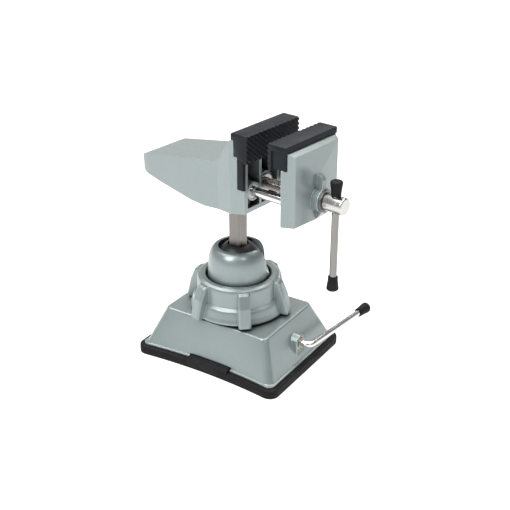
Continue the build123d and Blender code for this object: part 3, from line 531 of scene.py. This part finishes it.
def thread_cut(phase):
    """Depth of the thread at a phase from 0 to 1, as a share of its full depth."""
    distance = abs(phase - 0.5) * 2
    return min(1.0, max(0.0, (distance - THREAD_CREST) / (2 * THREAD_FLANK)))


def frame_ratio(follower):
    """How far a coupled joint travels, in metres for each radian of the joint it follows."""
    for coupling in frame["record"]["behaviour"]["couplings"]:
        if coupling["joint"] == follower:
            return coupling["ratio"]
    return 0.0


def make_lead_screw():
    """Threaded rod with a chamfered tip, and a plain neck inside the thrust collar."""
    low, high = box_mm("lead_screw", HEAD_AXES)
    thread_end = box_mm("thrust_collar", HEAD_AXES)[0].x
    z = (low.z + high.z) / 2
    radius = (high.z - low.z) / 2
    pitch = 1000 * 2 * math.pi * frame_ratio("jaw_slide") / CRESTS_PER_LEAD
    step = pitch / THREAD_STATIONS
    stations = [low.x, low.x + 0.15]
    count = int((thread_end - low.x - 1) / step)
    stations += [low.x + 0.3 + i * step for i in range(count)]
    rings = []
    for x in stations + [thread_end - 0.3, thread_end, thread_end + 0.01, high.x]:
        ring = []
        for j in range(THREAD_SEGMENTS):
            angle = 2 * math.pi * j / THREAD_SEGMENTS
            r = radius - THREAD_DEPTH * thread_cut((x / pitch - j / THREAD_SEGMENTS) % 1)
            r = min(r, radius - 1.2 + (x - low.x) * 1.2)
            if x > thread_end - 0.4:
                r = min(r, radius - THREAD_DEPTH)
            if x > thread_end:
                r = SCREW_NECK
            ring.append((x, r * math.cos(angle), z + r * math.sin(angle)))
        rings.append(ring)
    shell = Shell()
    shell.rings(rings)
    return add_piece("threaded_screw", shell.points, shell.faces, HEAD_AXES, "lead_screw", 28)


# ---------------------------------------------------------------- rubber grips
GRIP_TAPER = 1.0                    # how much narrower the mouth is than the closed end
GRIP_GAP = 0.02                     # between a grip's bore and its rod
GRIP_RIM = 1.5                      # rounding of the closed end
FLANK_STEPS = 10
RIM_STEPS = 8


def grip_profile(length, small, large, bore):
    """(radius, height) outline from inside the mouth, round the outside to the domed end."""
    mouth = [(bore, 2.0), (bore, 0.3), (bore + 0.3, 0.0), (small - 0.5, 0.0), (small - 0.12, 0.12),
             (small, 0.5), (small, 1.1), (small - 0.16, 1.35), (small - 0.16, 1.6)]
    flank = []
    for i in range(FLANK_STEPS + 1):
        t = i / FLANK_STEPS
        flank.append((small - 0.05 + (large - small) * t ** 1.25, 1.9 + (length * 0.8 - 1.9) * t))
    rim = []
    for i in range(RIM_STEPS + 1):
        angle = math.pi / 2 * i / RIM_STEPS
        rim.append((large - GRIP_RIM + GRIP_RIM * math.cos(angle),
                    length - GRIP_RIM + GRIP_RIM * math.sin(angle)))
    end = [(large - 2.1, length - 0.05), (large - 2.5, length - 0.25), (large - 3.4, length - 0.32),
           (0.7, length - 0.3), (0.55, length - 0.1), (0.35, length - 0.02)]
    return mouth + flank + rim + end


def make_grip(name, node, place, length, large, rod_radius):
    """Cap on the end of a rod, wider at its closed end than at its mouth."""
    shell = Shell()
    shell.lathe(grip_profile(length, large - GRIP_TAPER, large, rod_radius + GRIP_GAP), place, 72)
    return add_piece(name, shell.points, shell.faces, BASE_AXES, node, 40)


def make_bar_grips():
    """Caps on both ends of the tommy bar, with their closed ends outward."""
    bar_low, bar_high = box_mm("tommy_bar", HEAD_AXES)
    bar_radius = (bar_high.x - bar_low.x) / 2
    grips = (("upper_grip_cap", "upper_bar_grip", True), ("lower_grip_cap", "lower_bar_grip", False))
    for name, node, upward in grips:
        low, high = box_mm(node, HEAD_AXES)
        large = (high.x - low.x) / 2
        start = low.z if upward else high.z
        centre = Vector(((low.x + high.x) / 2, (low.y + high.y) / 2, start))
        turn = Matrix.Rotation(0 if upward else math.pi, 4, "X")
        place = HEAD_AXES @ Matrix.Translation(centre) @ turn
        make_grip(name, node, place, high.z - low.z, large, bar_radius)


def make_lever_grip():
    """Cap on the clamp lever, along its straight run beyond the elbow."""
    vertices = [vertex.co / MM for vertex in frame["nodes"]["lever_grip"].data.vertices]
    joint_z = joints["lever_turn"]["pos_m"][2] / MM
    radius = box_mm("clamp_lever", BASE_AXES)[1].z - joint_z
    elbow = Vector((LEVER_ELBOW_X, 0, joint_z))
    middle = sum(vertices, Vector()) / len(vertices)
    direction = (middle - elbow).normalized()
    reach = [(point - elbow).dot(direction) for point in vertices]
    start = elbow + direction * min(reach)
    place = Matrix.Translation(start) @ direction.to_track_quat("Z", "Y").to_matrix().to_4x4()
    large = max((point - elbow - direction * distance).length for point, distance in zip(vertices, reach))
    length = max(reach) - min(reach)
    return make_grip("lever_grip_cap", "lever_grip", place, length, large, radius)


# ---------------------------------------------------------------- suction pad
SUCTION_CORNER = 9.0
SUCTION_BOW = 5.4                   # the long sides curve inward by this much
SUCTION_TOP = 8.6
SUCTION_RIBS = (9.0, 16.0, 23.0)    # radii of the ribs under the middle
TAB_LOW = (-20.0, -57.8, 2.0)       # lowest corner of the pull tab
TAB_HIGH = (25.0, -50.4)            # its highest corner, up to the top of the pad


def bowed_ring(half_x, half_y, radius, bow, z):
    """Rounded rectangle whose long sides curve inward by bow at their middle."""
    slope = math.atan(2 * bow * (half_x - radius) / half_x ** 2)
    touch = half_x - radius - radius * math.sin(slope)
    side_steps = 14
    corner_steps = 8
    quarter = []
    for i in range(side_steps + 1):
        x = touch * i / side_steps
        quarter.append((x, -half_y + bow * (1 - (x / half_x) ** 2)))
    centre_y = quarter[-1][1] + radius * math.cos(slope)
    first = -math.pi / 2 - slope
    for i in range(1, corner_steps + 1):
        angle = first - first * i / corner_steps
        quarter.append((half_x - radius + radius * math.cos(angle), centre_y + radius * math.sin(angle)))
    quarter.append((half_x, centre_y * 0.5))
    ring = quarter + [(half_x, 0)]
    ring += [(x, -y) for x, y in reversed(quarter)]
    left = [(-x, y) for x, y in reversed(ring)][1:-1]
    return [(x, y, z) for x, y in ring + left]


def make_suction_pad():
    """Rubber foot: bowed sides, sealing ribs underneath and a pull tab."""
    high = box_mm("suction_pad", BASE_AXES)[1]
    half_x = high.x
    half_y = high.y + 1.07          # the bowed sides end in round corners inside this line
    top = SUCTION_TOP
    # (inset, height) from the inside of the top, over the outer wall, to the underside
    profile = [
        (24.0, 8.2), (14.6, 8.2), (14.4, 11.2), (14.1, 11.5), (11.4, 11.5), (11.1, 11.2), (10.9, 8.5),
        (3.6, 8.5), (3.3, top), (1.5, top), (0.75, top - 0.25), (0.2, top - 0.8), (0.0, top - 1.6),
        (0.0, 5.3), (0.25, 5.1), (0.25, 4.8), (0.0, 4.6), (0.0, 2.2), (0.35, 1.7), (0.35, 1.3),
        (0.1, 1.0), (0.2, 0.3), (0.6, 0.0), (3.0, 0.0), (3.3, 0.4), (3.9, 0.4), (4.2, 0.0),
        (5.6, 0.0), (5.9, 0.4), (6.5, 0.4), (6.8, 0.0), (8.6, 0.0), (9.8, 1.1), (30.0, 1.2),
    ]
    rings = []
    for inset, z in profile:
        corner = max(SUCTION_CORNER - inset * 0.35, 2.0)
        rings.append(bowed_ring(half_x - inset, half_y - inset, corner, SUCTION_BOW - inset * 0.05, z))
    rings.reverse()
    shell = Shell()
    shell.rings(rings)
    for radius in SUCTION_RIBS:
        rib = [(radius + 0.6, 1.6), (radius + 0.4, 0.5), (radius - 0.4, 0.5), (radius - 0.6, 1.6)]
        shell.lathe(rib, Matrix.Identity(4), 72)
    shell.block(TAB_LOW, (*TAB_HIGH, high.z), 1.1)
    return add_piece("moulded_suction_pad", shell.points, shell.faces, BASE_AXES, "suction_pad", 32)


# ---------------------------------------------------------------- stage
FLOOR_REACH = 60.0                  # metres from the middle to an edge of the floor
FLOOR_GAP = 0.2                     # millimetres between the part and the floor
FLOOR_GLOW = 0.86
LIGHT_AIM = Vector((0, 0, 120 * MM))
# azimuth from the camera's, elevation, distance, side, power and colour of each soft box
LIGHTS = (
    ("top", 195, 78, 1.3, 1.9, 46, (1.0, 0.965, 0.92)),
    ("key_left", -42, 40, 1.4, 0.4, 11.5, (0.98, 1.0, 1.0)),
    ("key_right", 30, 46, 1.4, 0.3, 4, (1.0, 1.0, 1.0)),
)
# brightness of the studio from the horizon up to the zenith, by the sine of the height
SKY = ((0.0, 1.25), (0.04, 1.25), (0.12, 0.47), (0.55, 0.30), (0.8, 0.44), (1.0, 0.9))
SKY_STRENGTH = 0.8


def make_floor():
    """Wide pale floor that runs into the sky at the horizon."""
    mesh = bpy.data.meshes.new("floor")
    reach = FLOOR_REACH
    level = cad_low.z - FLOOR_GAP * MM
    corners = [(-reach, -reach, level), (reach, -reach, level),
               (reach, reach, level), (-reach, reach, level)]
    mesh.from_pydata(corners, [], [(0, 1, 2, 3)])
    floor = bpy.data.objects.new("floor", mesh)
    bpy.context.scene.collection.objects.link(floor)
    recipe = Recipe("pale_floor", (0.35, 0.35, 0.35), 0.9, Specular_IOR_Level=0.1,
                    Emission_Color=(1, 1, 1, 1), Emission_Strength=FLOOR_GLOW)
    color = recipe.mix(recipe.spread(recipe.noise(3, 2), 0, 1), (0.34, 0.34, 0.34), (0.36, 0.36, 0.36))
    mesh.materials.append(recipe.use(Base_Color=color))


def aim(thing, azimuth, elevation, distance, target):
    """Puts a light or camera on a sphere round a target and turns it to look there."""
    a = math.radians(azimuth)
    e = math.radians(elevation)
    away = Vector((math.sin(a) * math.cos(e), -math.cos(a) * math.cos(e), math.sin(e)))
    thing.location = target + away * distance
    thing.rotation_euler = (-away).to_track_quat("-Z", "Y").to_euler()


def add_light(name, azimuth, elevation, distance, side, power, color):
    """Square soft box that looks at the middle of the part."""
    light = bpy.data.lights.new(name, "AREA")
    light.shape = "RECTANGLE"
    light.size = side
    light.size_y = side
    light.energy = power
    light.color = color
    lamp = bpy.data.objects.new(name, light)
    bpy.context.scene.collection.objects.link(lamp)
    aim(lamp, azimuth, elevation, distance, LIGHT_AIM)


def make_lights():
    """Soft boxes and the sky."""
    for name, azimuth, *settings in LIGHTS:
        add_light(name, CAMERA_AZIMUTH + azimuth, *settings)
    world = bpy.data.worlds.new("studio")
    world.use_nodes = True
    tree = world.node_tree
    background = tree.nodes["Background"]
    direction = tree.nodes.new("ShaderNodeTexCoord")
    parts = tree.nodes.new("ShaderNodeSeparateXYZ")
    tree.links.new(direction.outputs["Generated"], parts.inputs[0])
    ramp = tree.nodes.new("ShaderNodeValToRGB")
    stops = ramp.color_ramp.elements
    while len(stops) < len(SKY):
        stops.new(0.5)
    for stop, (position, level) in zip(stops, SKY):
        stop.position = position
        stop.color = (level, level, level * 1.01, 1)
    tree.links.new(parts.outputs[2], ramp.inputs[0])
    tree.links.new(ramp.outputs[0], background.inputs["Color"])
    background.inputs["Strength"].default_value = SKY_STRENGTH
    bpy.context.scene.world = world


def make_camera():
    """Camera at the main view."""
    data = bpy.data.cameras.new("camera")
    data.lens = CAMERA_LENS
    data.sensor_width = CAMERA_SENSOR
    camera = bpy.data.objects.new("camera", data)
    bpy.context.scene.collection.objects.link(camera)
    aim(camera, CAMERA_AZIMUTH, CAMERA_ELEVATION, CAMERA_DISTANCE, CAMERA_AIM)
    bpy.context.scene.camera = camera
    bpy.context.scene.view_settings.view_transform = "Standard"


# ---------------------------------------------------------------- build
def dress_cad_nodes():
    """Puts every CAD node's material into its existing slots."""
    for node, piece in frame["nodes"].items():
        for slot in piece.material_slots:
            slot.material = material_for(node)


make_camera()
make_floor()
make_lights()
dress_cad_nodes()
make_fixed_pad()
make_moving_pad()
make_lead_screw()
make_bar_grips()
make_lever_grip()
make_suction_pad()
